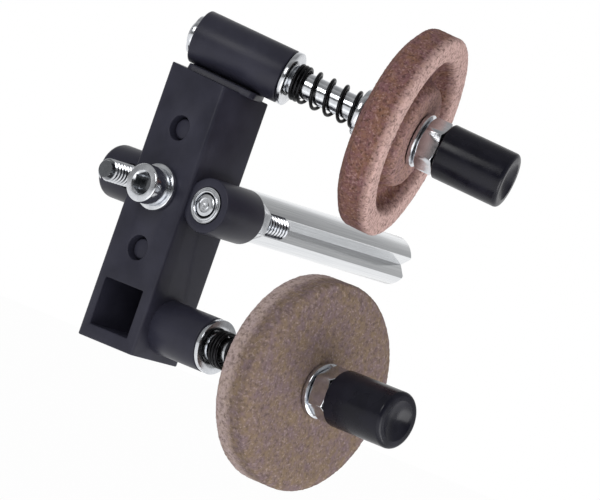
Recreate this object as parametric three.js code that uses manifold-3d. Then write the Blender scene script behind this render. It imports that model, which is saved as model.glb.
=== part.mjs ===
// Slicer sharpening attachment: two abrasive wheels on sprung push shafts, carried by a moulded
// block that a grooved rod holds. Millimetres, +Z up. The origin is on the rod's axis where it meets
// the block's back face, +X runs along the lower shaft and +Y along the rod, out of the block's back.
import * as THREE from 'three';
import { mergeVertices } from 'three/addons/utils/BufferGeometryUtils.js';
import Module from 'manifold-3d';

const wasm = await Module();
wasm.setup();

// Clearances
const gap = 0.3;
const overrun = 1;
const weldDistance = 0.0001;
const roundSteps = 48;
const wheelSteps = 72;

// Moulded block, measured from the clamp screw's axis and the back face
const blockWidth = 16.6;
const blockDepth = 16;
const blockBelow = 35.6;
const blockAbove = 26.65;
const topFallAlongX = THREE.MathUtils.degToRad(5);
const topFallAlongY = THREE.MathUtils.degToRad(2.3);
const bossRadius = 6.05;
const bossLift = 0.22;
const pocketLeftWall = 2.5;
const pocketRightWall = 2.8;
const pocketFloorWall = 3;
const pocketHeight = 10.7;
const pocketBackWall = 2.6;
const pitRadius = 2.75;
const pitDepth = 5;
const pitSpacing = 13.6;
const pocketWidth = blockWidth - pocketLeftWall - pocketRightWall;

// Web between the block's top and the upper boss
const neckHalfWidth = 4.5;
const neckReach = 9.2;
const neckDrop = 8.1;

// Stations: the axis of each push shaft and the places along it. The upper axis follows the block's
// top, and the lower one keeps its ring clear of the pocket's back wall.
const ringRadius = 4.3;
const ringRoom = 0.6;
const upperBossLength = 21.5;
const upperBossRear = -7.5;
const lowerBossReach = 13.5;
const upperStation = {
  prefix: 'upper',
  axisFromBack: 8.28,
  axisHeight: blockAbove + bossRadius + bossLift,
  yaw: THREE.MathUtils.degToRad(23.57),
  pitchDown: THREE.MathUtils.degToRad(5.75),
  bossRear: upperBossRear,
  bossFace: upperBossRear + upperBossLength,
  wheelFromBoss: 23.2,
  grooveFacesOut: true,
  wheelRadius: 23,
  wheelBevelDepth: 2.2,
  wheelBevelRun: 3.5,
  wheelColour: 0x8a6058,
};
const lowerStation = {
  prefix: 'lower',
  axisFromBack: pocketBackWall + ringRadius + ringRoom,
  axisHeight: -27.8,
  yaw: 0,
  pitchDown: 0,
  bossRear: blockWidth / 2 - pocketRightWall,
  bossFace: blockWidth / 2 + lowerBossReach,
  wheelFromBoss: 22.6,
  grooveFacesOut: false,
  wheelRadius: 22.8,
  wheelBevelDepth: 0.8,
  wheelBevelRun: 3.2,
  wheelColour: 0x8a7468,
};

// Push shaft and the pieces on it
const shaftRadius = 2.9;
const shaftTail = 0.8;
const ringThickness = 1;
const bushSleeveRadius = 4.2;
const bushSleeveLength = 12;
const flangeRadius = 6.05;
const flangeThickness = 1;
const seatFlangeRadius = 5.4;
const seatFlangeThickness = 1.2;
const seatCollarRadius = 4.7;
const seatLength = 4.7;
const wheelBushRadius = 4.6;
const nutWasherRadius = 6.05;
const nutWasherThickness = 1;
const nutAcrossFlats = 10.4;
const nutThickness = 4.4;
const capRadius = 6.2;
const capLength = 15.6;
const capBoreDepth = 11;
const capEdge = 0.9;
const capRimWidth = 1.3;
const capDish = 0.7;

// Abrasive wheel
const wheelThickness = 8.8;
const hubRadius = 11.5;
const grooveMouthRadius = 17.5;
const grooveDepth = 4;
const grooveWallRun = 1;

// Spring: close curls at its back, open ones between, half a close curl at its front
const wireRadius = 0.4;
const springMeanRadius = 3.75;
const closePitch = 1.3;
const backCloseTurns = 2.75;
const openTurns = 3.75;
const frontCloseTurns = 0.5;
const stepsPerTurn = 8;
const wireSides = 5;

// Clamp screw with its washer, through the block into the rod's foot
const screwRadius = 2.5;
const screwHeadRadius = 4.25;
const screwHeadHeight = 4.3;
const socketAcrossFlats = 4;
const socketDepth = 2.5;
const clampWasherRadius = 5.15;
const clampWasherThickness = 1;
const clampScrewReach = 8;

// Lug on the block's right face, with its through screw and nut
const lugFromFace = 5;
const lugRadius = 6;
const lugFront = 14.9;
const lugBack = 1.8;
const lugWebHeight = 8;
const lugHeadRadius = 3.5;
const lugHeadHeight = 3;
const lugHeadProud = 0.6;
const counterboreRadius = 4;
const lugNutAcrossFlats = 8;
const lugNutThickness = 4;
const lugScrewEnd = 12.5;

// Boss on the block's left face, with its set stud
const sideBossReach = 12;
const sideBossEdge = 1.6;
const sideBossFromFront = 8;
const sideBossRadius = 6;
const studFromFace = 3;
const studTip = 22;
const studRoot = 4.5;
const studTipChamfer = 0.7;

// Rod with a V groove along it, which opens towards the lower shaft's side and a little down
const rodRadius = 5.65;
const rodLength = 70;
const grooveMouthWidth = 5.1;
const grooveFloorRadius = 2.7;
const grooveStart = 10;
const grooveTurn = THREE.MathUtils.degToRad(7);
const quarterTurn = Math.PI / 2;

const finishes = {
  blackPlastic: new THREE.MeshStandardMaterial({ color: 0x26272a, roughness: 0.55, metalness: 0 }),
  glossPlastic: new THREE.MeshStandardMaterial({ color: 0x141518, roughness: 0.25, metalness: 0 }),
  plated: new THREE.MeshStandardMaterial({ color: 0xc9cdd2, roughness: 0.25, metalness: 1 }),
  chrome: new THREE.MeshStandardMaterial({ color: 0xdcdfe2, roughness: 0.12, metalness: 1 }),
  springSteel: new THREE.MeshStandardMaterial({ color: 0x2b2c2e, roughness: 0.4, metalness: 1 }),
};

function abrasive(colour) {
  return new THREE.MeshStandardMaterial({ color: colour, roughness: 0.95, metalness: 0 });
}

function named(name, geometry, material) {
  const mesh = new THREE.Mesh(geometry, material.clone());
  mesh.name = name;
  return mesh;
}

// A body of revolution about +X from pairs of place along the axis and radius
function turned(profile, steps = roundSteps) {
  const points = profile.map(([along, radius]) => new THREE.Vector2(radius, along));
  const geometry = new THREE.LatheGeometry(points, steps);
  geometry.rotateZ(-quarterTurn);
  return geometry;
}

function rod(start, end, radius, steps = roundSteps) {
  return turned([[start, 0], [start, radius], [end, radius], [end, 0]], steps);
}

function sleeve(start, end, innerRadius, outerRadius, steps = roundSteps) {
  const corners = [[start, innerRadius], [start, outerRadius], [end, outerRadius], [end, innerRadius]];
  return turned([...corners, corners[0]], steps);
}

// A hexagonal prism along +X between two places, with a round hole where a radius is given
function hexPrism(start, end, acrossFlats, holeRadius = 0) {
  const corner = acrossFlats / Math.sqrt(3);
  const shape = new THREE.Shape();
  for (let i = 0; i < 6; i += 1) {
    const angle = (i * Math.PI) / 3;
    const point = [corner * Math.cos(angle), corner * Math.sin(angle)];
    if (i === 0) {
      shape.moveTo(...point);
    } else {
      shape.lineTo(...point);
    }
  }
  if (holeRadius > 0) {
    shape.holes.push(new THREE.Path().absarc(0, 0, holeRadius, 0, 2 * Math.PI, true));
  }
  const settings = { depth: end - start, bevelEnabled: false, curveSegments: roundSteps / 2 };
  const geometry = new THREE.ExtrudeGeometry(shape, settings);
  geometry.rotateY(quarterTurn);
  geometry.translate(start, 0, 0);
  return geometry;
}

function boxBetween(low, high) {
  const size = high.map((value, i) => value - low[i]);
  const middle = high.map((value, i) => (value + low[i]) / 2);
  return new THREE.BoxGeometry(...size).translate(...middle);
}

// A geometry as a manifold solid, with its seam joined and its empty triangles left out
function solid(geometry) {
  const bare = geometry.clone();
  bare.deleteAttribute('normal');
  bare.deleteAttribute('uv');
  const joined = mergeVertices(bare, weldDistance);
  const index = joined.index.array;
  const kept = [];
  for (let i = 0; i < index.length; i += 3) {
    const [a, b, c] = index.slice(i, i + 3);
    if (a !== b && b !== c && c !== a) {
      kept.push(a, b, c);
    }
  }
  const vertProperties = joined.attributes.position.array;
  return new wasm.Manifold(new wasm.Mesh({ numProp: 3, vertProperties, triVerts: Uint32Array.from(kept) }));
}

function geometryOf(body) {
  const mesh = body.getMesh();
  const geometry = new THREE.BufferGeometry();
  geometry.setAttribute('position', new THREE.BufferAttribute(mesh.vertProperties, 3));
  geometry.setIndex(new THREE.BufferAttribute(mesh.triVerts, 1));
  geometry.computeVertexNormals();
  return geometry;
}

// The place of a station: its local +X is the shaft's outward direction
function stationPlace(station) {
  const place = new THREE.Object3D();
  place.position.set(0, -station.axisFromBack, station.axisHeight);
  place.rotation.set(0, station.pitchDown, station.yaw, 'ZYX');
  place.updateMatrix();
  return place;
}

function inStation(geometry, station) {
  return solid(geometry.clone().applyMatrix4(stationPlace(station).matrix));
}

// Screws that run along Y are built along +X and turned so that +X points out of the block's front
function alongY(geometry, x) {
  return geometry.clone().rotateZ(-quarterTurn).translate(x, 0, 0);
}

function blockBody() {
  const halfWidth = blockWidth / 2;
  const roof = boxBetween(
    [-blockWidth, -2 * blockDepth, 0],
    [2 * blockWidth, 2 * blockDepth, blockBelow],
  );
  roof.rotateY(topFallAlongX);
  roof.rotateX(-topFallAlongY);
  roof.translate(-halfWidth, -blockDepth, blockAbove);
  const bar = boxBetween([-halfWidth, -blockDepth, -blockBelow], [halfWidth, 0, blockAbove]);
  return solid(bar).subtract(solid(roof));
}

function neck() {
  const low = [upperStation.bossRear, -neckHalfWidth, -neckDrop];
  return inStation(boxBetween(low, [neckReach, neckHalfWidth, 0]), upperStation);
}

function lug() {
  const halfWidth = blockWidth / 2;
  const barrel = alongY(rod(lugBack, lugFront, lugRadius), halfWidth + lugFromFace);
  const halfWeb = lugWebHeight / 2;
  const web = boxBetween(
    [halfWidth - overrun, -lugFront, -halfWeb],
    [halfWidth + lugFromFace, -lugBack, halfWeb],
  );
  return solid(barrel).add(solid(web));
}

function lugHole() {
  const middle = blockWidth / 2 + lugFromFace;
  const bore = rod(lugBack - overrun, lugFront + overrun, screwRadius + gap);
  const headFloor = lugFront + lugHeadProud - lugHeadHeight - gap;
  const counterbore = rod(headFloor, lugFront + overrun, counterboreRadius);
  return solid(alongY(bore, middle)).add(solid(alongY(counterbore, middle)));
}

function sideBoss() {
  const profile = [[blockWidth / 2 - overrun, 0], [blockWidth / 2 - overrun, sideBossRadius]];
  const edgeSteps = 4;
  for (let i = 0; i <= edgeSteps; i += 1) {
    const angle = (i / edgeSteps) * quarterTurn;
    const along = blockWidth / 2 + sideBossReach - sideBossEdge * (1 - Math.sin(angle));
    profile.push([along, sideBossRadius - sideBossEdge * (1 - Math.cos(angle))]);
  }
  profile.push([blockWidth / 2 + sideBossReach, 0]);
  const geometry = turned(profile);
  geometry.rotateZ(Math.PI);
  geometry.translate(0, -blockDepth + sideBossFromFront, 0);
  return solid(geometry);
}

function studHole() {
  return solid(alongY(rod(studRoot - gap, studTip, screwRadius + gap), -blockWidth / 2 - studFromFace));
}

function shaftHoles(station) {
  const through = rod(station.bossRear - overrun, station.bossFace + overrun, shaftRadius + gap);
  const bushEnd = station.bossFace - bushSleeveLength - gap;
  const bushBore = rod(bushEnd, station.bossFace + overrun, bushSleeveRadius + gap);
  return inStation(through, station).add(inStation(bushBore, station));
}

function pocket() {
  const left = -blockWidth / 2 + pocketLeftWall;
  const floor = -blockBelow + pocketFloorWall;
  const low = [left, -blockDepth - overrun, floor];
  return solid(boxBetween(low, [left + pocketWidth, -pocketBackWall, floor + pocketHeight]));
}

function pit(height) {
  const cut = alongY(rod(blockDepth - pitDepth, blockDepth + overrun, pitRadius), 0);
  return solid(cut.translate(0, 0, height));
}

function bodyBlock() {
  const upperBoss = inStation(rod(upperStation.bossRear, upperStation.bossFace, bossRadius), upperStation);
  const lowerBoss = inStation(rod(lowerStation.bossRear, lowerStation.bossFace, bossRadius), lowerStation);
  const clampHole = alongY(rod(-overrun, blockDepth + overrun, screwRadius + gap), 0);
  const added = [upperBoss, lowerBoss, neck(), lug(), sideBoss()];
  const cuts = [
    shaftHoles(upperStation),
    shaftHoles(lowerStation),
    pocket(),
    pit(pitSpacing),
    pit(-pitSpacing),
    solid(clampHole),
    lugHole(),
    studHole(),
  ];
  const whole = added.reduce((sum, piece) => sum.add(piece), blockBody());
  const finished = cuts.reduce((left, cut) => left.subtract(cut), whole);
  return named('body_block', geometryOf(finished), finishes.blackPlastic);
}

function clampScrew() {
  const seat = blockDepth + gap + clampWasherThickness + gap;
  const face = seat + screwHeadHeight;
  const shank = rod(-clampScrewReach, seat + overrun, screwRadius);
  const socket = hexPrism(face - socketDepth, face + overrun, socketAcrossFlats);
  const head = solid(rod(seat, face, screwHeadRadius));
  const body = head.add(solid(shank)).subtract(solid(socket));
  return named('clamp_screw', alongY(geometryOf(body), 0), finishes.plated);
}

function clampWasher() {
  const start = blockDepth + gap;
  const ring = sleeve(start, start + clampWasherThickness, screwRadius + gap, clampWasherRadius);
  return named('clamp_washer', alongY(ring, 0), finishes.plated);
}

function lugScrew() {
  const face = lugFront + lugHeadProud;
  const seat = face - lugHeadHeight;
  const profile = [
    [-lugScrewEnd, 0],
    [-lugScrewEnd, screwRadius - studTipChamfer],
    [-lugScrewEnd + studTipChamfer, screwRadius],
    [seat, screwRadius],
    [seat, lugHeadRadius],
    [face, lugHeadRadius],
    [face, 0],
  ];
  const geometry = alongY(turned(profile), blockWidth / 2 + lugFromFace);
  return named('lug_screw', geometry, finishes.plated);
}

function lugNut() {
  const seat = lugBack - gap;
  const prism = hexPrism(seat - lugNutThickness, seat, lugNutAcrossFlats, screwRadius + gap);
  return named('lug_nut', alongY(prism, blockWidth / 2 + lugFromFace), finishes.plated);
}

function sideStud() {
  const profile = [
    [studRoot, 0],
    [studRoot, screwRadius],
    [studTip - studTipChamfer, screwRadius],
    [studTip, screwRadius - studTipChamfer],
    [studTip, 0],
  ];
  const geometry = alongY(turned(profile), -blockWidth / 2 - studFromFace);
  return named('side_stud', geometry, finishes.plated);
}

// The V that is cut along the rod, with its mouth's corners on the rod's round
function rodGroove() {
  const halfMouth = grooveMouthWidth / 2;
  const mouthRadius = Math.sqrt(rodRadius ** 2 - halfMouth ** 2);
  const outside = rodRadius + overrun;
  const halfOutside = (halfMouth * (outside - grooveFloorRadius)) / (mouthRadius - grooveFloorRadius);
  const shape = new THREE.Shape();
  shape.moveTo(grooveFloorRadius, 0);
  shape.lineTo(outside, -halfOutside);
  shape.lineTo(outside, halfOutside);
  const depth = rodLength + overrun - grooveStart;
  const geometry = new THREE.ExtrudeGeometry(shape, { depth, bevelEnabled: false });
  geometry.translate(0, 0, grooveStart);
  return solid(geometry.rotateZ(grooveTurn).rotateX(-quarterTurn));
}

function mountingRod() {
  const bar = solid(rod(gap, rodLength, rodRadius).rotateZ(quarterTurn));
  const clampHole = alongY(rod(-clampScrewReach - gap, overrun, screwRadius + gap), 0);
  const finished = bar.subtract(rodGroove()).subtract(solid(clampHole));
  return named('mounting_rod', geometryOf(finished), finishes.chrome);
}

// Points of each ring of a spring's wire, curl by curl
function springRings(start, end) {
  const turns = backCloseTurns + openTurns + frontCloseTurns;
  const openLength = end - start - 2 * wireRadius - closePitch * (backCloseTurns + frontCloseTurns);
  const openPitch = openLength / openTurns;
  const rings = [];
  for (let step = 0; step <= turns * stepsPerTurn; step += 1) {
    const turn = step / stepsPerTurn;
    const open = Math.min(Math.max(turn - backCloseTurns, 0), openTurns);
    const along = start + wireRadius + closePitch * (turn - open) + openPitch * open;
    const angle = turn * 2 * Math.PI;
    const ring = [];
    for (let side = 0; side < wireSides; side += 1) {
      const round = (side / wireSides) * 2 * Math.PI;
      const radius = springMeanRadius + wireRadius * Math.cos(round);
      const x = along + wireRadius * Math.sin(round);
      ring.push(new THREE.Vector3(x, radius * Math.cos(angle), radius * Math.sin(angle)));
    }
    rings.push(ring);
  }
  return rings;
}

function leastGap(rings) {
  let least = Infinity;
  for (let i = 0; i < rings.length; i += 1) {
    for (let j = i + stepsPerTurn / 2; j < rings.length; j += 1) {
      for (const point of rings[i]) {
        for (const other of rings[j]) {
          least = Math.min(least, point.distanceTo(other));
        }
      }
    }
  }
  return least;
}

function spring(name, start, end) {
  const rings = springRings(start, end);
  const index = [];
  for (let ring = 0; ring + 1 < rings.length; ring += 1) {
    for (let side = 0; side < wireSides; side += 1) {
      const next = (side + 1) % wireSides;
      const a = ring * wireSides + side;
      const b = ring * wireSides + next;
      index.push(a, a + wireSides, b, b, a + wireSides, b + wireSides);
    }
  }
  const last = (rings.length - 1) * wireSides;
  for (let side = 1; side + 1 < wireSides; side += 1) {
    index.push(0, side, side + 1, last, last + side + 1, last + side);
  }
  const geometry = new THREE.BufferGeometry().setFromPoints(rings.flat());
  geometry.setIndex(index);
  geometry.computeVertexNormals();
  console.log(`${name}: least gap to itself ${leastGap(rings).toFixed(3)} mm`);
  return named(name, geometry, finishes.springSteel);
}

function wheelBack(station) {
  return station.bossFace + station.wheelFromBoss;
}

function flangedBush(station) {
  const flangeStart = station.bossFace + gap;
  const flangeEnd = flangeStart + flangeThickness;
  const bore = shaftRadius + gap;
  const sleeveStart = station.bossFace - bushSleeveLength;
  const profile = [
    [sleeveStart, bore],
    [sleeveStart, bushSleeveRadius],
    [flangeStart, bushSleeveRadius],
    [flangeStart, flangeRadius],
    [flangeEnd, flangeRadius],
    [flangeEnd, bore],
    [sleeveStart, bore],
  ];
  return named(`${station.prefix}_bush`, turned(profile), finishes.plated);
}

function springSeat(station) {
  const end = wheelBack(station) - gap;
  const start = end - seatLength;
  const bore = shaftRadius + gap;
  const profile = [
    [start, bore],
    [start, seatFlangeRadius],
    [start + seatFlangeThickness, seatFlangeRadius],
    [start + seatFlangeThickness, seatCollarRadius],
    [end, seatCollarRadius],
    [end, bore],
    [start, bore],
  ];
  return named(`${station.prefix}_spring_seat`, turned(profile), finishes.plated);
}

// The wheel's section from its bevelled flat side, at 0, to its grooved side
function wheelProfile({ wheelRadius, wheelBevelDepth, wheelBevelRun }) {
  const bore = wheelBushRadius + gap;
  const floor = wheelThickness - grooveDepth;
  return [
    [0, bore],
    [0, wheelRadius - wheelBevelRun],
    [wheelBevelDepth, wheelRadius],
    [wheelThickness, wheelRadius],
    [wheelThickness, grooveMouthRadius],
    [floor, grooveMouthRadius - grooveWallRun],
    [floor, hubRadius + grooveWallRun],
    [wheelThickness, hubRadius],
    [wheelThickness, bore],
    [0, bore],
  ];
}

function wheel(station) {
  const geometry = turned(wheelProfile(station), wheelSteps);
  if (!station.grooveFacesOut) {
    geometry.rotateZ(Math.PI);
    geometry.translate(wheelThickness, 0, 0);
  }
  geometry.translate(wheelBack(station), 0, 0);
  return named(`${station.prefix}_wheel`, geometry, abrasive(station.wheelColour));
}

function wheelBush(station) {
  const start = wheelBack(station);
  const ring = sleeve(start, start + wheelThickness, shaftRadius + gap, wheelBushRadius);
  return named(`${station.prefix}_wheel_bush`, ring, finishes.plated);
}

function frontStack(station) {
  const washerStart = wheelBack(station) + wheelThickness + gap;
  const nutStart = washerStart + nutWasherThickness + gap;
  const capStart = nutStart + nutThickness + gap;
  return { washerStart, nutStart, capStart };
}

function nutWasher(station) {
  const start = frontStack(station).washerStart;
  const ring = sleeve(start, start + nutWasherThickness, shaftRadius + gap, nutWasherRadius);
  return named(`${station.prefix}_nut_washer`, ring, finishes.plated);
}

function nut(station) {
  const start = frontStack(station).nutStart;
  const prism = hexPrism(start, start + nutThickness, nutAcrossFlats, shaftRadius + gap);
  return named(`${station.prefix}_nut`, prism, finishes.plated);
}

function cap(station) {
  const start = frontStack(station).capStart;
  const end = start + capLength;
  const profile = [
    [start + capBoreDepth, 0],
    [start + capBoreDepth, shaftRadius + gap],
    [start, shaftRadius + gap],
    [start, capRadius],
    [end - capEdge, capRadius],
    [end, capRadius - capEdge],
    [end, capRadius - capEdge - capRimWidth],
    [end - capDish, 0],
  ];
  return named(`${station.prefix}_cap`, turned(profile), finishes.glossPlastic);
}

function pushShaft(station) {
  const tail = station.bossRear - gap - ringThickness - shaftTail;
  const tip = frontStack(station).capStart + capBoreDepth - gap;
  return named(`${station.prefix}_shaft`, rod(tail, tip, shaftRadius), finishes.plated);
}

function retainingRing(station) {
  const end = station.bossRear - gap;
  const ring = sleeve(end - ringThickness, end, shaftRadius + gap, ringRadius);
  return named(`${station.prefix}_retaining_ring`, ring, finishes.plated);
}

function stationPieces(station) {
  const pieces = stationPlace(station);
  const springStart = station.bossFace + gap + flangeThickness + gap;
  const springEnd = wheelBack(station) - gap - seatLength - gap;
  pieces.add(
    flangedBush(station),
    spring(`${station.prefix}_spring`, springStart, springEnd),
    pushShaft(station),
    retainingRing(station),
    springSeat(station),
    wheel(station),
    wheelBush(station),
    nutWasher(station),
    nut(station),
    cap(station),
  );
  return pieces;
}

const sharpener = new THREE.Group();
sharpener.add(bodyBlock(), mountingRod(), clampScrew(), clampWasher());
sharpener.add(lugScrew(), lugNut(), sideStud());
sharpener.add(stationPieces(upperStation), stationPieces(lowerStation));

export default sharpener;
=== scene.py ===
# Slicer sharpening attachment, dressed over its CAD frame. Lengths are in millimetres, and MM turns
# them to metres. Each push shaft's pieces are made along +X and then set in its station.
from contextlib import contextmanager
from math import atan2, cos, dist, pi, radians, sin, sqrt

import bpy
from mathutils import Matrix, Vector


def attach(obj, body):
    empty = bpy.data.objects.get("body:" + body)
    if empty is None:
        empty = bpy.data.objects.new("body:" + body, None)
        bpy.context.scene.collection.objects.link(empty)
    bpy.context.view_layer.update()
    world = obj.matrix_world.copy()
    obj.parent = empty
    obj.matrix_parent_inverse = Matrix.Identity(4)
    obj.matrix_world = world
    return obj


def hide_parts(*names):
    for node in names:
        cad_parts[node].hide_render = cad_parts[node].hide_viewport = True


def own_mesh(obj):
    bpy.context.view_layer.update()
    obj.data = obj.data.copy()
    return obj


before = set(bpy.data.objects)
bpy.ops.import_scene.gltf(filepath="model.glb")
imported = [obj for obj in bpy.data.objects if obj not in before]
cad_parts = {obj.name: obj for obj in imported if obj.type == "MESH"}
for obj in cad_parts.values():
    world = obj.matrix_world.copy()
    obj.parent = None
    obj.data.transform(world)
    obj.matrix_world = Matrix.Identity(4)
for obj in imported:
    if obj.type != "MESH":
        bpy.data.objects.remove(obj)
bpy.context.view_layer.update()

MM = 0.001

# The gap that the CAD leaves between a nut, washer or cap and what it is tightened on
GAP = 0.3

# Sides of a turned piece that shows, and of a core, a pin or a cutting tool
FINE = 96
PLAIN = 48

# The camera: its directions, its place along its own right, up and back, and its lens
CAMERA_YAW = radians(38.833)
CAMERA_TILT = radians(1.933)
CAMERA_ROLL = radians(0.181)
PHOTO_LEAN = radians(19.5)
CAMERA_SPOT = (23.078, -2.921, 975.8)
CAMERA_LENS = 269.4

# The moulded block, its front being the low end of Y and its back at 0
BLOCK_SIDE = 8.3
BLOCK_FRONT = -16
BLOCK_FOOT = -35.6
BLOCK_TOP = 26.65
PIT_HEIGHTS = (13.6, -13.6)
LUG_X = 13.3
STUD_X = -11.3
SIDE_BOSS_Y = -8

# Radii that several pieces share
BOSS = 6.05
BUSH_HOLE = 4.5
SHAFT_HOLE = 3.2
SCREW_HOLE = 2.8
SHAFT = 2.9
M5 = 2.5
M5_ROOT = 2.1
ROD = 5.65

# The rod's length and the wheels' width
ROD_LENGTH = 70
WHEEL_WIDTH = 8.8

# Each shaft boss's rear and face along its shaft
UPPER_REAR = -7.5
UPPER_FACE = 14
LOWER_REAR = 5.5
LOWER_FACE = 21.8


# Camera and lamps

def aim(yaw, tilt, roll):
    """The camera's right, up and back directions for its yaw, tilt and roll."""
    right = Vector((cos(yaw), sin(yaw), 0))
    level_back = Vector((sin(yaw), -cos(yaw), 0))
    up = Vector((0, 0, 1)) * cos(tilt) - level_back * sin(tilt)
    back = Vector((0, 0, 1)) * sin(tilt) + level_back * cos(tilt)
    return right * cos(roll) - up * sin(roll), up * cos(roll) + right * sin(roll), back


def add_camera():
    """The photograph's camera: a long lens about a metre away, rolled so that the block leans."""
    right, up, back = aim(CAMERA_YAW, CAMERA_TILT, CAMERA_ROLL)
    to_right, to_up, to_back = CAMERA_SPOT
    spot = (right * to_right + up * to_up + back * to_back) * MM
    leaning_right = right * cos(PHOTO_LEAN) + up * sin(PHOTO_LEAN)
    leaning_up = up * cos(PHOTO_LEAN) - right * sin(PHOTO_LEAN)
    data = bpy.data.cameras.new("photo_camera")
    data.lens = CAMERA_LENS
    data.sensor_width = 36
    data.clip_start = 0.05
    data.clip_end = 20
    camera = bpy.data.objects.new("photo_camera", data)
    camera.matrix_world = Matrix.Translation(spot) @ Matrix(
        (leaning_right, leaning_up, back)
    ).transposed().to_4x4()
    bpy.context.scene.collection.objects.link(camera)
    bpy.context.scene.camera = camera


def add_softbox(name, spot, size, power):
    """A square soft lamp at a spot in metres, turned to the object's middle."""
    data = bpy.data.lights.new(name, "AREA")
    data.shape = "SQUARE"
    data.size = size
    data.energy = power
    lamp = bpy.data.objects.new(name, data)
    middle = Vector((0.02, 0.005, 0))
    lamp.location = spot
    lamp.rotation_euler = (Vector(spot) - middle).to_track_quat("Z", "Y").to_euler()
    lamp.visible_camera = False
    bpy.context.scene.collection.objects.link(lamp)


# Material helpers

def linear(hex_code):
    """An sRGB hex colour as the linear values that a shader takes."""
    parts = [int(hex_code[i:i + 2], 16) / 255 for i in (1, 3, 5)]
    return [v / 12.92 if v <= 0.04045 else ((v + 0.055) / 1.055) ** 2.4 for v in parts] + [1]


def set_stops(band, stops):
    """A colour ramp's stops, as pairs of place and hex colour or of place and grey level. A new ramp
    has two, which take the first two pairs."""
    for i, (place, tone) in enumerate(stops):
        stop = band.elements[i] if i < 2 else band.elements.new(place)
        stop.position = place
        stop.color = linear(tone) if isinstance(tone, str) else (tone, tone, tone, 1)


def node(tree, kind, settings=None, links=None):
    """One more node in a tree, with its settings and what feeds its sockets. A socket goes by its
    name, or by its number where two have the same name, and a ramp's colours are its stops."""
    made = tree.nodes.new(kind)

    def socket(key):
        if isinstance(key, int):
            return made.inputs[key]
        return next((s for s in made.inputs if s.name == key and s.enabled), None)

    for key, value in (settings or {}).items():
        if key == "stops":
            set_stops(made.color_ramp, value)
        elif socket(key) is None:
            setattr(made, key, value)
        else:
            socket(key).default_value = value
    for key, source in (links or {}).items():
        tree.links.new(source, socket(key))
    return made


def new_material(name):
    made = bpy.data.materials.new(name)
    made.use_nodes = True
    made.node_tree.nodes.clear()
    return made, made.node_tree


def grain_of(size):
    """The texture scale that gives a pattern of this size in millimetres."""
    return 1 / (size * MM)


def turned_place(tree, where, place):
    """How far along a turned piece's axis a point lies, and how far out from it."""
    axis = place.to_3x3() @ Vector((1, 0, 0))
    from_start = node(
        tree,
        "ShaderNodeVectorMath",
        {"operation": "SUBTRACT", 1: place.translation},
        {0: where},
    ).outputs["Vector"]
    along = node(
        tree, "ShaderNodeVectorMath", {"operation": "DOT_PRODUCT", 1: axis}, {0: from_start}
    )
    across = node(
        tree, "ShaderNodeVectorMath", {"operation": "CROSS_PRODUCT", 1: axis}, {0: from_start}
    )
    radius = node(
        tree, "ShaderNodeVectorMath", {"operation": "LENGTH"}, {0: across.outputs["Vector"]}
    )
    return along.outputs["Value"], radius.outputs["Value"]


def close_material(tree, settings, links, height, bump):
    """The surface shader and output, with a height pattern that stands up by so many millimetres."""
    raised = node(
        tree, "ShaderNodeBump", {"Strength": 1.0, "Distance": bump * MM}, {"Height": height}
    )
    shader = node(
        tree, "ShaderNodeBsdfPrincipled", settings, {**links, "Normal": raised.outputs["Normal"]}
    )
    node(tree, "ShaderNodeOutputMaterial", links={"Surface": shader.outputs["BSDF"]})


# Materials

def moulded_nylon():
    """Black glass-filled nylon, moulded: charcoal black with a satin skin and faint orange peel."""
    made, tree = new_material("moulded_black_nylon")
    where = node(tree, "ShaderNodeTexCoord").outputs["Object"]
    peel = node(
        tree, "ShaderNodeTexNoise", {"Scale": grain_of(0.6), "Detail": 3.0}, {"Vector": where}
    ).outputs["Fac"]
    cloud = node(
        tree, "ShaderNodeTexNoise", {"Scale": grain_of(9), "Detail": 4.0}, {"Vector": where}
    ).outputs["Fac"]
    tone = node(
        tree, "ShaderNodeValToRGB", {"stops": [(0.3, "#272732"), (0.7, "#343441")]}, {"Fac": cloud}
    )
    sheen = node(
        tree, "ShaderNodeValToRGB", {"stops": [(0.3, 0.34), (0.7, 0.46)]}, {"Fac": cloud}
    )
    close_material(
        tree,
        {"IOR": 1.53, "Specular IOR Level": 0.22},
        {"Base Color": tone.outputs["Color"], "Roughness": sheen.outputs["Color"]},
        height=peel,
        bump=0.012,
    )
    return made


def polished_abs():
    """Black ABS from a polished mould: deep black with a clear shine and slight handling haze."""
    made, tree = new_material("polished_black_abs")
    where = node(tree, "ShaderNodeTexCoord").outputs["Object"]
    haze = node(
        tree, "ShaderNodeTexNoise", {"Scale": grain_of(5), "Detail": 5.0}, {"Vector": where}
    ).outputs["Fac"]
    tone = node(
        tree, "ShaderNodeValToRGB", {"stops": [(0.3, "#101018"), (0.7, "#1b1b25")]}, {"Fac": haze}
    )
    sheen = node(
        tree, "ShaderNodeValToRGB", {"stops": [(0.35, 0.2), (0.7, 0.36)]}, {"Fac": haze}
    )
    close_material(
        tree,
        {"IOR": 1.54, "Specular IOR Level": 0.17},
        {"Base Color": tone.outputs["Color"], "Roughness": sheen.outputs["Color"]},
        height=haze,
        bump=0.02,
    )
    return made


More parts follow.
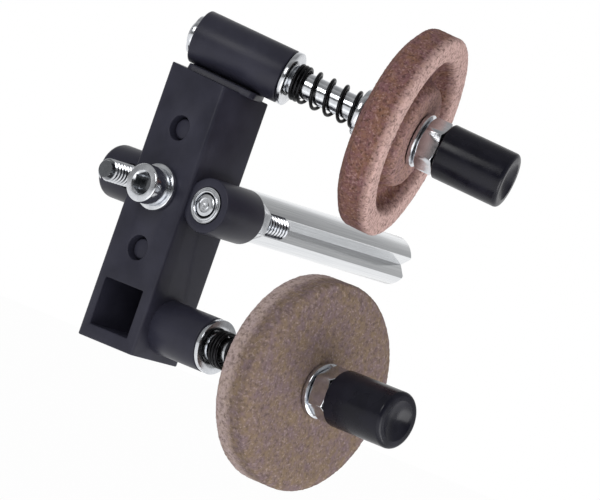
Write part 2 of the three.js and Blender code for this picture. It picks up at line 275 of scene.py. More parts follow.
def chromed_bar():
    """Drawn steel bar with bright chrome: mirror-like, with hair-thin draw lines along the bar."""
    made, tree = new_material("chromed_drawn_steel")
    where = node(tree, "ShaderNodeTexCoord").outputs["Object"]
    drawn_out = node(tree, "ShaderNodeMapping", {"Scale": (1, 0.02, 1)}, {"Vector": where})
    lines = node(
        tree,
        "ShaderNodeTexNoise",
        {"Scale": grain_of(0.3), "Detail": 2.0},
        {"Vector": drawn_out.outputs["Vector"]},
    ).outputs["Fac"]
    tone = node(
        tree, "ShaderNodeValToRGB", {"stops": [(0.3, "#dcdee1"), (0.7, "#eceef0")]}, {"Fac": lines}
    )
    sheen = node(
        tree, "ShaderNodeValToRGB", {"stops": [(0.3, 0.08), (0.7, 0.16)]}, {"Fac": lines}
    )
    close_material(
        tree,
        {"Metallic": 1.0},
        {"Base Color": tone.outputs["Color"], "Roughness": sheen.outputs["Color"]},
        height=lines,
        bump=0.0006,
    )
    return made


def zinc_plate(name="bright_zinc_plate", recess=None):
    """Turned steel, bright zinc plated: silver with a faint blue cast and cloudy passivation. Where a
    recess is given, as a place, a radius and a start along it, shade is painted into it as a dark
    grey, as in a socket or in a thread's roots."""
    made, tree = new_material(name)
    where = node(tree, "ShaderNodeTexCoord").outputs["Object"]
    cloud = node(
        tree, "ShaderNodeTexNoise", {"Scale": grain_of(1.6), "Detail": 5.0}, {"Vector": where}
    ).outputs["Fac"]
    tone = node(
        tree, "ShaderNodeValToRGB", {"stops": [(0.3, "#c6c9ce"), (0.7, "#e2e4e8")]}, {"Fac": cloud}
    ).outputs["Color"]
    sheen = node(
        tree, "ShaderNodeValToRGB", {"stops": [(0.3, 0.13), (0.7, 0.24)]}, {"Fac": cloud}
    )
    if recess:
        place, root, start = recess
        along, radius = turned_place(tree, where, place)
        # Painted shade: inside the recess's radius and past its start, the colour turns to dark grey.
        deep = node(
            tree,
            "ShaderNodeMapRange",
            {"From Min": (root + 0.12) * MM, "From Max": (root - 0.08) * MM, "To Max": 0.76},
            {"Value": radius},
        )
        within = node(
            tree,
            "ShaderNodeMapRange",
            {"From Min": start * MM, "From Max": (start + 0.2) * MM},
            {"Value": along},
        )
        painted_recess_shade = node(
            tree,
            "ShaderNodeMath",
            {"operation": "MULTIPLY"},
            {0: deep.outputs["Result"], 1: within.outputs["Result"]},
        )
        tone = node(
            tree,
            "ShaderNodeMix",
            {"data_type": "RGBA", "B": linear("#3a3f43")},
            {"Factor": painted_recess_shade.outputs["Value"], "A": tone},
        ).outputs[2]
    close_material(
        tree,
        {"Metallic": 1.0},
        {"Base Color": tone, "Roughness": sheen.outputs["Color"]},
        height=cloud,
        bump=0.004,
    )
    return made


def blackened_wire():
    """Oil-blackened spring wire: near black metal with a soft sheen along its curls."""
    made, tree = new_material("oil_blackened_wire")
    where = node(tree, "ShaderNodeTexCoord").outputs["Object"]
    oil = node(
        tree, "ShaderNodeTexNoise", {"Scale": grain_of(0.7), "Detail": 4.0}, {"Vector": where}
    ).outputs["Fac"]
    tone = node(
        tree, "ShaderNodeValToRGB", {"stops": [(0.3, "#1e1e20"), (0.7, "#333335")]}, {"Fac": oil}
    )
    sheen = node(
        tree, "ShaderNodeValToRGB", {"stops": [(0.3, 0.28), (0.7, 0.45)]}, {"Fac": oil}
    )
    close_material(
        tree,
        {"Metallic": 1.0},
        {"Base Color": tone.outputs["Color"], "Roughness": sheen.outputs["Color"]},
        height=oil,
        bump=0.01,
    )
    return made


def bonded_grit(name, tones, grit, place, painted_highlight, highlight_along, highlight_radius):
    """Ceramic bonded abrasive: matt, clouded, with dark and pale grains as large as its grit. It is
    painted paler, a painted highlight for the light that falls on the wheel from below and the side.
    The painted highlight rises between two places along the axis, and inside a radius it is three
    tenths as strong. The grains are drawn about twice as coarse as the real ones, which are too fine
    to show."""
    made, tree = new_material(name)
    where = node(tree, "ShaderNodeTexCoord").outputs["Object"]
    dark, warm, cool, pale_grain_and_highlight = tones
    cloud = node(
        tree,
        "ShaderNodeTexNoise",
        {"Scale": grain_of(2.6), "Detail": 6.0, "Roughness": 0.72},
        {"Vector": where},
    )
    specks = node(
        tree,
        "ShaderNodeTexNoise",
        {"Scale": grain_of(grit), "Detail": 5.0, "Roughness": 0.62},
        {"Vector": where},
    ).outputs["Fac"]
    cells = node(tree, "ShaderNodeTexVoronoi", {"Scale": grain_of(grit * 0.45)}, {"Vector": where})
    pick = node(tree, "ShaderNodeSeparateColor", links={"Color": cells.outputs["Color"]})
    along, radius = turned_place(tree, where, place)
    # Painted highlight: a paler colour laid over the wheel for light from below and the side, full
    # outside a radius and three tenths as strong inside it, rising between two places along the axis.
    outside = node(
        tree,
        "ShaderNodeMapRange",
        {
            "From Min": (highlight_radius - 1.5) * MM,
            "From Max": (highlight_radius + 1.5) * MM,
            "To Min": painted_highlight * 0.3,
            "To Max": painted_highlight,
        },
        {"Value": radius},
    )
    dressed = node(
        tree,
        "ShaderNodeMapRange",
        {"From Min": highlight_along[0] * MM, "From Max": highlight_along[1] * MM},
        {"Value": along, "To Max": outside.outputs["Result"]},
    )
    pale_grains = node(
        tree,
        "ShaderNodeValToRGB",
        {"stops": [(0.7, 0.0), (1.0, 0.26)]},
        {"Fac": pick.outputs["Red"]},
    )
    dark_grains = node(
        tree,
        "ShaderNodeValToRGB",
        {"stops": [(0.0, 0.36), (0.4, 0.0)]},
        {"Fac": pick.outputs["Green"]},
    )
    pores = node(
        tree, "ShaderNodeValToRGB", {"stops": [(0.3, 0.8), (0.51, 0.0)]}, {"Fac": specks}
    )
    tone = node(
        tree,
        "ShaderNodeValToRGB",
        {"stops": [(0.4, cool), (0.6, warm)]},
        {"Fac": cloud.outputs["Fac"]},
    ).outputs["Color"]
    # The first layer laid over is the painted highlight; then come the pale grains, the dark grains and
    # the pores.
    for laid_over, share in (
        (pale_grain_and_highlight, dressed.outputs["Result"]),
        (pale_grain_and_highlight, pale_grains.outputs["Color"]),
        (dark, dark_grains.outputs["Color"]),
        (dark, pores.outputs["Color"]),
    ):
        tone = node(
            tree,
            "ShaderNodeMix",
            {"data_type": "RGBA", "B": linear(laid_over)},
            {"Factor": share, "A": tone},
        ).outputs[2]
    close_material(
        tree,
        {"Roughness": 0.93, "IOR": 1.5, "Specular IOR Level": 0.3},
        {"Base Color": tone},
        height=specks,
        bump=0.16,
    )
    return made


# Modelling helpers

def begin():
    """Leaves nothing selected, so that what follows acts on the new piece alone."""
    bpy.ops.object.select_all(action="DESELECT")


def only(piece):
    begin()
    piece.select_set(True)
    bpy.context.view_layer.objects.active = piece


@contextmanager
def editing(piece, select=None):
    """Edit mode on one piece, with all or nothing of its mesh selected first where that is asked."""
    only(piece)
    bpy.ops.object.mode_set(mode="EDIT")
    if select:
        bpy.ops.mesh.select_all(action=select)
    yield
    bpy.ops.object.mode_set(mode="OBJECT")


def settle(piece, place=None):
    """Sets a piece in its place and takes that place into its mesh."""
    only(piece)
    if place is not None:
        piece.matrix_world = place @ piece.matrix_world
    bpy.ops.object.transform_apply(location=True, rotation=True, scale=True)
    return piece


def smoothed(piece, angle=35):
    """Shades a piece smooth, apart from its edges sharper than the angle."""
    only(piece)
    bpy.ops.object.shade_smooth_by_angle(angle=radians(angle))
    return piece


def applied(piece, kind, **settings):
    """One modifier with its settings, applied at once."""
    only(piece)
    modifier = piece.modifiers.new(kind.lower(), kind)
    for name, value in settings.items():
        setattr(modifier, name, value)
    bpy.ops.object.modifier_apply(modifier=modifier.name)
    return piece


def softened(piece, width, segments=2, angle=30):
    """Rounds every edge sharper than the angle."""
    return applied(
        piece,
        "BEVEL",
        width=width * MM,
        segments=segments,
        limit_method="ANGLE",
        angle_limit=radians(angle),
    )


def upright(start, end):
    """Whether an edge between two points stands more than it lies."""
    return abs(start.z - end.z) > abs(start.x - end.x) + abs(start.y - end.y)


def rounded_uprights(piece, width, segments=4):
    """Rounds a block's upright edges alone."""
    with editing(piece, "DESELECT"):
        bpy.ops.mesh.select_mode(type="EDGE")
    corners = piece.data.vertices
    for edge in piece.data.edges:
        edge.select = upright(*(corners[i].co for i in edge.vertices))
    with editing(piece):
        bpy.ops.mesh.bevel(offset=width * MM, segments=segments, affect="EDGES")
        bpy.ops.mesh.select_mode(type="VERT")
    return piece


def cut(piece, tool, operation="DIFFERENCE"):
    """Takes a tool's shape out of a piece, or keeps only what they share, and removes the tool."""
    applied(piece, "BOOLEAN", object=tool, operation=operation, solver="EXACT")
    bpy.data.objects.remove(tool)
    return piece


def planed(piece, point, out):
    """Cuts a piece off flat through a point; what lies on the side of the given direction goes."""
    with editing(piece, "SELECT"):
        bpy.ops.mesh.bisect(
            plane_co=[v * MM for v in point], plane_no=out, clear_outer=True, use_fill=True
        )
    return piece


def joined(piece, *others):
    """Makes other pieces part of the first one's mesh."""
    only(piece)
    for other in others:
        other.select_set(True)
    bpy.ops.object.join()
    return piece


def finer(section, longest):
    """The same section with more points, none further apart than about so many millimetres."""
    points = [section[0]]
    for start, end in zip(section, section[1:]):
        parts = max(1, round(dist(start, end) / longest))
        for i in range(1, parts + 1):
            share = i / parts
            points.append(tuple(a + (b - a) * share for a, b in zip(start, end)))
    return points


def turned(name, section, steps=FINE, ring=False):
    """A piece turned about +X: a circle drawn out through its section, pairs of place and radius.
    A ring is open in the middle and its last circle is bridged to the first."""
    begin()
    along, radius = section[0]
    bpy.ops.mesh.primitive_circle_add(
        vertices=steps,
        radius=radius * MM,
        fill_type="NOTHING" if ring else "NGON",
        location=(along * MM, 0, 0),
        rotation=(0, pi / 2, 0),
    )
    piece = bpy.context.object
    piece.name = name
    with editing(piece, "SELECT"):
        for next_along, next_radius in section[1:]:
            bpy.ops.mesh.extrude_region_move(
                TRANSFORM_OT_translate={"value": ((next_along - along) * MM, 0, 0)}
            )
            growth = next_radius / radius
            bpy.ops.transform.resize(value=(1, growth, growth), center_override=(0, 0, 0))
            along, radius = next_along, next_radius
        if ring:
            bpy.ops.mesh.select_non_manifold(extend=False)
            bpy.ops.mesh.bridge_edge_loops()
        bpy.ops.mesh.select_all(action="SELECT")
        bpy.ops.mesh.normals_make_consistent(inside=False)
    return settle(piece)


def boxed(name, low, high):
    begin()
    middle = [(a + b) / 2 * MM for a, b in zip(low, high)]
    size = [(b - a) * MM for a, b in zip(low, high)]
    bpy.ops.mesh.primitive_cube_add(size=1, location=middle, scale=size)
    piece = bpy.context.object
    piece.name = name
    return settle(piece)


def hexagon(name, start, end, across_flats, turn):
    """A six-sided bar along +X between two places, turned about it."""
    begin()
    bpy.ops.mesh.primitive_cylinder_add(
        vertices=6,
        radius=across_flats / sqrt(3) * MM,
        depth=(end - start) * MM,
        location=((start + end) / 2 * MM, 0, 0),
        rotation=(0, pi / 2, 0),
    )
    piece = bpy.context.object
    piece.name = name
    return settle(settle(piece), Matrix.Rotation(turn, 4, "X"))


def thread(name, start, end, radius, pitch):
    """A screw thread's ridge about +X, to lie on a core that is thinner by its depth."""
    begin()
    depth = pitch * 0.58
    middle = radius - depth / 2
    bpy.ops.mesh.primitive_circle_add(
        vertices=3, radius=pitch / 2 * MM, location=((start + pitch / 2) * MM, 0, middle * MM)
    )
    piece = bpy.context.object
    piece.name = name
    settle(piece)
    corners = [(-0.36, -0.7), (0.36, -0.7), (0, 0.5)]
    for vertex, (along, out) in zip(piece.data.vertices, corners):
        vertex.co = Vector((start + pitch * (0.5 + along), 0, middle + depth * out)) * MM
    turns = (end - start) / pitch - 1
    steps = round(turns * 36)
    applied(
        piece,
        "SCREW",
        axis="X",
        angle=turns * 2 * pi,
        screw_offset=turns * pitch * MM,
        steps=steps,
        render_steps=steps,
        use_merge_vertices=True,
        merge_threshold=0.000001,
    )
    with editing(piece):
        bpy.ops.mesh.select_non_manifold(extend=False)
        bpy.ops.mesh.fill_holes(sides=4)
        bpy.ops.mesh.select_all(action="SELECT")
        bpy.ops.mesh.normals_make_consistent(inside=False)
    return piece


def fit(piece, stands_for, body, finish):
    """Gives a piece its finish and the body that carries it, and hides the CAD part that it stands for.
    """
    piece.data.materials.clear()
    piece.data.materials.append(finish)
    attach(piece, body)
    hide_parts(stands_for)


# Places of what is made along +X, and the finishes

def facing_front(x, z=0):
    """The place of what looks out of the block's front, so many millimetres aside and up."""
    return Matrix.Translation((x * MM, 0, z * MM)) @ Matrix.Rotation(-pi / 2, 4, "Z")


TURNED_ROUND = Matrix.Rotation(pi, 4, "Z")
UPPER = (
    Matrix.Translation((0, -8.28 * MM, 32.92 * MM))
    @ Matrix.Rotation(radians(23.57), 4, "Z")
    @ Matrix.Rotation(radians(5.75), 4, "Y")
)
LOWER = Matrix.Translation((0, -7.5 * MM, -27.8 * MM))

nylon = moulded_nylon()
abs_black = polished_abs()
chrome = chromed_bar()
zinc = zinc_plate()
black_wire = blackened_wire()
# Each wheel's last tone is the colour of its pale grains and also of its painted highlight, whose
# strength, places along the axis and radius follow the grit.
red_grit = bonded_grit(
    "aluminium_oxide_grit_red_brown",
    ("#3c2420", "#815d4c", "#7c585a", "#d2b1aa"),
    grit=0.8,
    place=UPPER,
    painted_highlight=0.85,
    highlight_along=(43.8, 45.9),
    highlight_radius=15,
)
grey_grit = bonded_grit(
    "aluminium_oxide_grit_taupe",
    ("#55473f", "#7e6b58", "#766467", "#c6b2ae"),
    grit=0.9,
    place=LOWER,
    painted_highlight=0.55,
    highlight_along=(49.2, 47.2),
    highlight_radius=0,
)
# These three finishes have shade painted into the socket and into the threads' roots.
socket_zinc = zinc_plate("zinc_socket_head", (facing_front(0), 2.3, 19))
stud_zinc = zinc_plate("zinc_stud_thread", (facing_front(STUD_X), 2.2, 0))
lug_zinc = zinc_plate("zinc_screw_thread", (facing_front(LUG_X) @ TURNED_ROUND, 2.2, 0))


# Moulded block

def make_boss(name, place, rear, face, radius, hole, recess, recess_floor):
    """A round boss with a hole through it, which widens to a recess at its face."""
    section = [
        (rear, hole), (rear, radius), (face, radius),
        (face, recess), (recess_floor, recess), (recess_floor, hole),
    ]
    return settle(softened(turned(name, section, ring=True), 0.35, 3), place)


def make_block():
    """The bar with its sloping top, pocket and pits, and the bosses, neck and lug moulded on it."""
    bar = boxed("block_moulding", (-BLOCK_SIDE, BLOCK_FRONT, BLOCK_FOOT), (BLOCK_SIDE, 0, BLOCK_TOP))
    slope = Matrix.Rotation(radians(-2.3), 3, "X") @ Matrix.Rotation(radians(5), 3, "Y")
    planed(bar, (-BLOCK_SIDE, BLOCK_FRONT, BLOCK_TOP), slope @ Vector((0, 0, 1)))
    rounded_uprights(bar, 0.8)
    cut(bar, boxed("pocket_tool", (-5.8, BLOCK_FRONT - 1, -32.6), (5.5, -2.6, -21.9)))
    for height in PIT_HEIGHTS:
        pit = turned("pit_tool", [(11, 2.75), (17, 2.75)], PLAIN)
        cut(bar, settle(pit, facing_front(0, height)))
    shaft_way = turned("shaft_way_tool", [(0, SHAFT_HOLE), (12, SHAFT_HOLE)], PLAIN)
    cut(bar, settle(shaft_way, LOWER))
    softened(bar, 0.25, 3)

    pins = []
    for height in PIT_HEIGHTS:
        pin = softened(turned("pit_pin", [(10.5, 2.3), (14.6, 2.3)], PLAIN), 0.45, 4)
        pins.append(settle(pin, facing_front(0, height)))

    upper_boss = make_boss("upper_boss", UPPER, UPPER_REAR, UPPER_FACE, BOSS, SHAFT_HOLE, BUSH_HOLE, 1.7)
    neck = settle(boxed("neck", (-6, -1.2, -8.3), (8.2, 4.5, 0)), UPPER)
    pad = boxed("neck_pad", (-6, -5.4, -7.5), (10.6, 3, -6.02))
    planed(pad, (0, -5.4, -7.5), (0, -0.97, 0.242))
    rounded_uprights(pad, 1.2)
    softened(pad, 0.2, 3, 40)
    settle(pad, UPPER)

    lower_boss = make_boss("lower_boss", LOWER, 5.7, LOWER_FACE, BOSS, SHAFT_HOLE, BUSH_HOLE, 9.5)
    lug = make_boss("lug", facing_front(LUG_X), 1.8, 14.9, 6, SCREW_HOLE, 4, 12.2)
    web = softened(boxed("lug_web", (7.3, -14.6, -4), (12, -2.1, 4)), 0.3, 3)
    side_boss = softened(turned("side_boss", [(7.3, 6), (20.3, 6)]), 1.6, 6)
    settle(side_boss, Matrix.Translation((0, SIDE_BOSS_Y * MM, 0)) @ TURNED_ROUND)
    stud_way = turned("stud_way_tool", [(4.2, SCREW_HOLE), (22, SCREW_HOLE)], PLAIN)
    cut(side_boss, settle(stud_way, facing_front(STUD_X)))
    joined(bar, upper_boss, neck, pad, lower_boss, lug, web, side_boss, *pins)
    smoothed(bar, 30)
    fit(bar, "body_block", "frame", nylon)


# Rod

def make_rod():
    """The bright bar with its V groove, open towards the lower shaft's side and a little down."""
    edge = 0.6
    bar = turned(
        "grooved_rod",
        [(0.3, ROD - 0.35), (0.65, ROD), (ROD_LENGTH - edge, ROD), (ROD_LENGTH, ROD - edge)],
        160,
    )
    settle(bar, Matrix.Rotation(pi / 2, 4, "Z"))

    start = 10
    end = ROD_LENGTH + 1
    groove_root = 2.7
    half_mouth = 2.55
    outside = ROD + 1
    slant = half_mouth / (sqrt(ROD ** 2 - half_mouth ** 2) - groove_root)
    half_outside = slant * (outside - groove_root)
    groove = turned("groove_tool", [(start, 4), (end, 4)], 3)
    corners = [(groove_root, 0), (outside, -half_outside), (outside, half_outside)]
    halfway = (start + end) / 2 * MM
    in_order = sorted(groove.data.vertices, key=lambda v: (v.co.x > halfway, v.index))
    for i, vertex in enumerate(in_order):
        out, side = corners[i % 3]
        vertex.co = Vector((out, (start, end)[i // 3], side)) * MM
    with editing(groove, "SELECT"):
        bpy.ops.mesh.normals_make_consistent(inside=False)
    settle(groove, Matrix.Rotation(radians(7), 4, "Y"))
    cut(bar, groove)
    softened(bar, 0.1, 2, 25)
    smoothed(bar, 25)
    fit(bar, "mounting_rod", "frame", chrome)


# Screws

def bead(middle, radius, thickness):
    """A round ring's section, drawn as eight points around its middle."""
    return [
        (middle + thickness * cos(turn), radius + thickness * sin(turn))
        for turn in [radians(45 * i) for i in range(8)]
    ]


def make_lock_washer():
    """The serrated ring that sits in the lug's recess behind the screw's end."""
    rim = 3.65
    section = [(14.1, 3.3), (14.1, rim), (15, rim), (15.1, rim - 0.1), (15.1, 3.3)]
    ring = turned("lug_lock_washer", section, ring=True)
    with editing(ring, "DESELECT"):
        pass
    for face in ring.data.polygons:
        out = Vector((0, face.center.y, face.center.z))
        turn = (atan2(out.z, out.y) + 2 * pi) % (2 * pi)
        in_tooth = int(turn / (2 * pi) * FINE) % 3 < 2
        face.select = out.length > (rim - 0.02) * MM and in_tooth
    with editing(ring):
        bpy.ops.mesh.select_mode(type="FACE")
        bpy.ops.mesh.extrude_region_move()
        bpy.ops.transform.resize(value=(1, 1.07, 1.07), center_override=(0, 0, 0))
        bpy.ops.mesh.select_mode(type="VERT")
    return ring


def make_nut(name, start, end, across_flats, bore):
    """A hexagon nut: a turned blank with chamfered ends, cut to six flats."""
    corner = across_flats / sqrt(3)
    flat = across_flats / 2
    chamfer = (corner - flat) * 0.6
    section = [
        (start + 0.5, bore),
        (start, bore + 0.5),
        (start, flat - 0.1),
        (start + chamfer, corner + 0.05),
        (end - chamfer, corner + 0.05),
        (end, flat - 0.1),
        (end, bore + 0.5),
        (end - 0.5, bore),
    ]
    blank = turned(name, section, ring=True)
    cut(blank, hexagon("hexagon_tool", start - 1, end + 1, across_flats, pi / 2), "INTERSECT")
    return softened(blank, 0.08, 1, 40)


def make_screws():
    """The clamp screw with its washer, the lug's screw with its nut, and the side boss's stud."""
    head = softened(turned("clamp_screw_head", [(17.32, 4.25), (21.9, 4.25)]), 0.4, 3)
    cut(head, turned("socket_rim_tool", [(21.3, 2.1), (22.3, 3.1)]))
    cut(head, hexagon("socket_tool", 19.4, 23, 4.4, pi / 6))
    shank = turned("clamp_screw_shank", [(-8, M5 - 0.3), (-7.7, M5), (17.9, M5)], PLAIN)
    joined(head, shank)
    settle(head, facing_front(0))
    fit(smoothed(head), "clamp_screw", "frame", socket_zinc)

    section = [(16.02, SCREW_HOLE), (16.02, 5.15), (17.3, 5.15), (17.3, SCREW_HOLE)]
    washer = softened(turned("clamp_screw_washer", section, ring=True), 0.3, 3)
    settle(washer, facing_front(0))
    fit(smoothed(washer), "clamp_washer", "frame", zinc)

    lug_screw = turned(
        "lug_screw_turned",
        [
            (-12.5, 1.7), (-11.9, M5_ROOT), (14.2, M5_ROOT), (14.2, 2.45), (14.9, 2.45),
            (15.15, 2.35), (15.3, 2.1), (15.3, 1.6), (15.1, 1.45), (15.1, 1.0), (15.25, 0.85),
            (15.25, 0.5), (15, 0.15),
        ],
    )
    collar = turned("lug_collar", bead(14.95, 3.05, 0.3), ring=True)
    joined(lug_screw, collar, make_lock_washer(), thread("lug_screw_thread", -12.4, -0.5, M5, 1))
    settle(lug_screw, facing_front(LUG_X))
    fit(smoothed(lug_screw), "lug_screw", "frame", lug_zinc)

    nut = make_nut("lug_nut_chamfered", -2.5, 1.78, 8, M5_ROOT)
    settle(nut, facing_front(LUG_X))
    fit(smoothed(nut), "lug_nut", "frame", zinc)

    stud = turned("side_stud_turned", [(4.5, M5_ROOT), (20.9, M5_ROOT), (21.5, 1.85)])
    joined(stud, thread("side_stud_thread", 8, 21.45, M5, 1))
    settle(stud, facing_front(STUD_X))
    fit(smoothed(stud), "side_stud", "frame", stud_zinc)


# Push shafts

def make_spring(name, start, end, place):
    """Wire wound close at both ends and open between."""
    wire = 0.4
    mean = 3.75
    close_pitch = 0.83
    first_turn = 0.18
    back_turns = 2.75
    open_turns = 3.9
    front_turns = 0.5
    open_pitch = (end - start - 2 * wire - close_pitch * (back_turns + front_turns)) / open_turns
    steps = 40
    points = []
    for step in range(round((back_turns + open_turns + front_turns) * steps) + 1):
        turn = step / steps
        opened = min(max(turn - back_turns, 0), open_turns)
        along = start + wire + close_pitch * (turn - opened) + open_pitch * opened
        angle = (turn - first_turn) * 2 * pi
        points.append(Vector((along, mean * cos(angle), mean * sin(angle))) * MM)
    curve = bpy.data.curves.new(name, "CURVE")
    curve.dimensions = "3D"
    curve.bevel_depth = wire * MM
    curve.bevel_resolution = 3
    curve.use_fill_caps = True
    line = curve.splines.new("POLY")
    line.points.add(len(points) - 1)
    for spot, point in zip(line.points, points):
        spot.co = (*point, 1)
    piece = bpy.data.objects.new(name, curve)
    bpy.context.scene.collection.objects.link(piece)
    only(piece)
    bpy.ops.object.convert(target="MESH")
    piece = bpy.context.object
    settle(piece, place)
    smoothed(piece, 60)
    fit(piece, name.replace("_wound", ""), "frame", black_wire)
    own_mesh(piece)


def make_wheel(prefix, back, groove_out, radius, bevel_depth, bevel_run):
    """The abrasive wheel with its bevelled flat side and its grooved side, edges slightly crumbled."""
    bore = 4.9
    groove_floor = 4.8
    section = [
        (0, bore), (0, radius - bevel_run), (bevel_depth, radius), (WHEEL_WIDTH, radius),
        (WHEEL_WIDTH, 17.9), (groove_floor, 16), (groove_floor, 13), (WHEEL_WIDTH, 11),
        (WHEEL_WIDTH, bore),
    ]
    piece = turned(f"{prefix}_wheel_pressed", finer(section, 2.2), 112, ring=True)
    softened(piece, 0.85, 3, 20)
    applied(piece, "SUBSURF", subdivision_type="SIMPLE", levels=2, render_levels=2)
    crumble = bpy.data.textures.new(f"{prefix}_crumble", "CLOUDS")
    crumble.noise_scale = 0.7 * MM
    applied(
        piece,
        "DISPLACE",
        texture=crumble,
        texture_coords="LOCAL",
        strength=0.22 * MM,
        mid_level=0.5,
    )
    if not groove_out:
        settle(piece, Matrix.Translation((WHEEL_WIDTH * MM, 0, 0)) @ TURNED_ROUND)
    return settle(piece, Matrix.Translation((back * MM, 0, 0)))


def make_cap(prefix, start):
    """The black push cap: a deep bore, a rounded end and a shallow dish in it."""
    end = start + 15.6
    radius = 6.2
    rounding = 0.9
    dish_rim = 4.1
    dish_depth = 1.1
    turns = [radians(15 * i) for i in range(7)]
    edge = [
        (end - rounding + rounding * sin(turn), radius - rounding + rounding * cos(turn))
        for turn in turns
    ]
    dish = [
        (end - 0.2 - dish_depth * (1 - (out / dish_rim) ** 2), out)
        for out in (3.7, 3.2, 2.6, 1.9, 1.2, 0.5)
    ]
    section = [
        (start + 11, SHAFT_HOLE), (start, SHAFT_HOLE), (start, radius - 0.25), (start + 0.25, radius),
        *edge, (end, dish_rim + 0.3), (end - 0.2, dish_rim), *dish,
    ]
    return turned(f"{prefix}_cap_moulded", section)


def make_station(prefix, place, boss_rear, boss_face, wheel_back, wheel, finish, slot):
    """Everything on one push shaft, from the ring at its tail to the cap."""
    shaft_body = f"{prefix}_push_shaft"
    flange = boss_face + GAP
    bush_tail = boss_face - 12
    bush = turned(
        f"{prefix}_flanged_bush",
        [
            (bush_tail, SHAFT_HOLE), (bush_tail, 4.2), (flange, 4.2), (flange, BOSS),
            (flange + 1, BOSS), (flange + 1, SHAFT_HOLE),
        ],
        ring=True,
    )
    seat_end = wheel_back - GAP
    seat_start = seat_end - 4.7
    seat_step = seat_start + 1.2
    seat = turned(
        f"{prefix}_seat_turned",
        [
            (seat_start, SHAFT_HOLE), (seat_start, 5.4), (seat_step, 5.4), (seat_step, 4.7),
            (seat_end, 4.7), (seat_end, SHAFT_HOLE),
        ],
        ring=True,
    )
    washer_start = wheel_back + WHEEL_WIDTH + GAP
    washer_end = washer_start + 1
    washer = turned(
        f"{prefix}_washer_punched",
        [
            (washer_start, SHAFT_HOLE), (washer_start, BOSS), (washer_end, BOSS),
            (washer_end, SHAFT_HOLE),
        ],
        ring=True,
    )
    ring_end = boss_rear - GAP
    ring_start = ring_end - 1
    retainer = turned(
        f"{prefix}_ring_punched",
        [(ring_start, SHAFT_HOLE), (ring_start, 4.3), (ring_end, 4.3), (ring_end, SHAFT_HOLE)],
        ring=True,
    )
    nut_start = washer_end + GAP
    nut_end = nut_start + 4.4
    nut = make_nut(f"{prefix}_nut_chamfered", nut_start, nut_end, 10.4, SHAFT_HOLE)
    cap_start = nut_end + GAP
    cap = make_cap(prefix, cap_start)
    tail = ring_end - 1.8
    tip = cap_start + 10.7
    edge = 0.4
    shaft = turned(
        f"{prefix}_shaft_turned",
        [(tail, SHAFT - edge), (tail + edge, SHAFT), (tip - edge, SHAFT), (tip, SHAFT - edge)],
    )
    for piece, width in ((bush, 0.15), (seat, 0.18), (washer, 0.15), (retainer, 0.12)):
        softened(piece, width)
    dressed = [
        (bush, "bush", "frame", "plated_steel", zinc),
        (seat, "spring_seat", shaft_body, "plated_steel", zinc),
        (washer, "nut_washer", shaft_body, "plated_steel", zinc),
        (retainer, "retaining_ring", shaft_body, "plated_steel", zinc),
        (nut, "nut", shaft_body, "plated_steel", zinc),
        (cap, "cap", shaft_body, "gloss_black_plastic", abs_black),
        (shaft, "shaft", shaft_body, "plated_steel", zinc),
        (make_wheel(prefix, wheel_back, **wheel), "wheel", f"{prefix}_wheel_body", slot, finish),
    ]
    for piece, stands_for, body, piece_slot, piece_finish in dressed:
        settle(piece, place)
        smoothed(piece, 60 if stands_for == "wheel" else 30)
        fit(piece, f"{prefix}_{stands_for}", body, piece_finish)
    spring_start = flange + 1 + GAP
    spring_end = seat_start - GAP
    make_spring(f"{prefix}_spring_wound", spring_start, spring_end, place)
    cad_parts[f"{prefix}_wheel_bush"].material_slots[0].material = zinc


# Floor and backdrop

def ray_kinds(tree):
    """Sockets that are one for a ray from the camera, and for one off metal or through glass."""
    path = node(tree, "ShaderNodeLightPath")
    mirrored = node(
        tree,
        "ShaderNodeMath",
        {"operation": "MAXIMUM"},
        {0: path.outputs["Is Glossy Ray"], 1: path.outputs["Is Transmission Ray"]},
    )
    return path.outputs["Is Camera Ray"], mirrored.outputs["Value"]


def add_stage():
    """A plain white floor well below the part, nearly as white as the backdrop where it is seen."""
    begin()
    bpy.ops.mesh.primitive_plane_add(size=6, location=(0, 0, -0.3))
    floor = bpy.context.object
    floor.name = "floor"
    made, tree = new_material("white_floor")
    from_camera, mirrored = ray_kinds(tree)
    seen = node(tree, "ShaderNodeMath", {"operation": "MAXIMUM"}, {0: from_camera, 1: mirrored})
    share = node(
        tree, "ShaderNodeMath", {"operation": "MULTIPLY", 1: 0.97}, {0: seen.outputs["Value"]}
    )
    paper = node(tree, "ShaderNodeBsdfDiffuse", {"Color": linear("#f4f4f4")})
    white = node(tree, "ShaderNodeEmission", {"Color": (1, 1, 1, 1), "Strength": 1.0})
    mixed = node(
        tree,
        "ShaderNodeMixShader",
        links={
            "Fac": share.outputs["Value"],
            1: paper.outputs["BSDF"],
            2: white.outputs["Emission"],
        },
    )
    node(tree, "ShaderNodeOutputMaterial", links={"Surface": mixed.outputs["Shader"]})
    floor.data.materials.append(made)


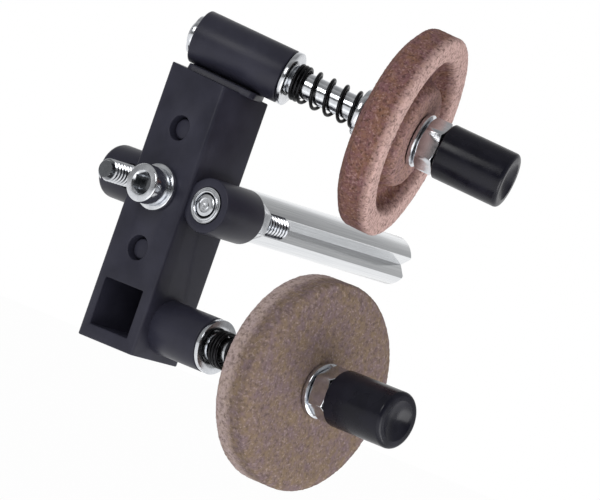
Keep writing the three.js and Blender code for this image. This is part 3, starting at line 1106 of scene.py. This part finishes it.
def add_world():
    """A white backdrop. Metal sees it behind the part, and a dim room behind the camera."""
    world = bpy.data.worlds.new("studio")
    bpy.context.scene.world = world
    world.use_nodes = True
    tree = world.node_tree
    tree.nodes.clear()
    from_camera, mirrored = ray_kinds(tree)
    where = node(tree, "ShaderNodeTexCoord").outputs["Generated"]
    view_direction = -aim(CAMERA_YAW, CAMERA_TILT, 0)[2]
    ahead = node(
        tree, "ShaderNodeVectorMath", {"operation": "DOT_PRODUCT", 1: view_direction}, {0: where}
    )
    turn = node(
        tree,
        "ShaderNodeMapRange",
        {"From Min": -1.0, "From Max": 1.0},
        {"Value": ahead.outputs["Value"]},
    )
    room_levels = [
        (0.0, 0.04), (1.0, 1.0), (0.28, 0.3), (0.39, 0.5), (0.5, 0.26), (0.6, 0.34),
        (0.79, 0.45), (0.87, 0.62), (0.93, 0.95),
    ]
    room = node(
        tree, "ShaderNodeValToRGB", {"stops": room_levels}, {"Fac": turn.outputs["Result"]}
    )
    soft_light = 0.58
    mirrored_tone = node(
        tree,
        "ShaderNodeMix",
        {"data_type": "RGBA", "A": (soft_light, soft_light, soft_light, 1)},
        {"Factor": mirrored, "B": room.outputs["Color"]},
    )
    tone = node(
        tree,
        "ShaderNodeMix",
        {"data_type": "RGBA", "B": (1, 1, 1, 1)},
        {"Factor": from_camera, "A": mirrored_tone.outputs[2]},
    )
    backdrop = node(tree, "ShaderNodeBackground", {"Strength": 1.0}, {"Color": tone.outputs[2]})
    node(tree, "ShaderNodeOutputWorld", links={"Surface": backdrop.outputs["Background"]})


bpy.context.scene.view_settings.view_transform = "Standard"
add_camera()
add_world()
add_stage()
add_softbox("key_softbox", (0.12, -0.86, 0.42), size=0.35, power=2.3)
add_softbox("right_softbox", (0.5, 0.16, -0.27), size=0.4, power=2.3)
add_softbox("under_softbox", (0.16, -0.1, -0.28), size=0.6, power=0.9)

make_block()
make_rod()
make_screws()
make_station(
    "upper",
    UPPER,
    boss_rear=UPPER_REAR,
    boss_face=UPPER_FACE,
    wheel_back=37.2,
    wheel={"groove_out": True, "radius": 23, "bevel_depth": 2.2, "bevel_run": 3.5},
    finish=red_grit,
    slot="red_brown_abrasive",
)
make_station(
    "lower",
    LOWER,
    boss_rear=LOWER_REAR,
    boss_face=LOWER_FACE,
    wheel_back=44.4,
    wheel={"groove_out": False, "radius": 22.8, "bevel_depth": 0.8, "bevel_run": 3.2},
    finish=grey_grit,
    slot="grey_brown_abrasive",
)
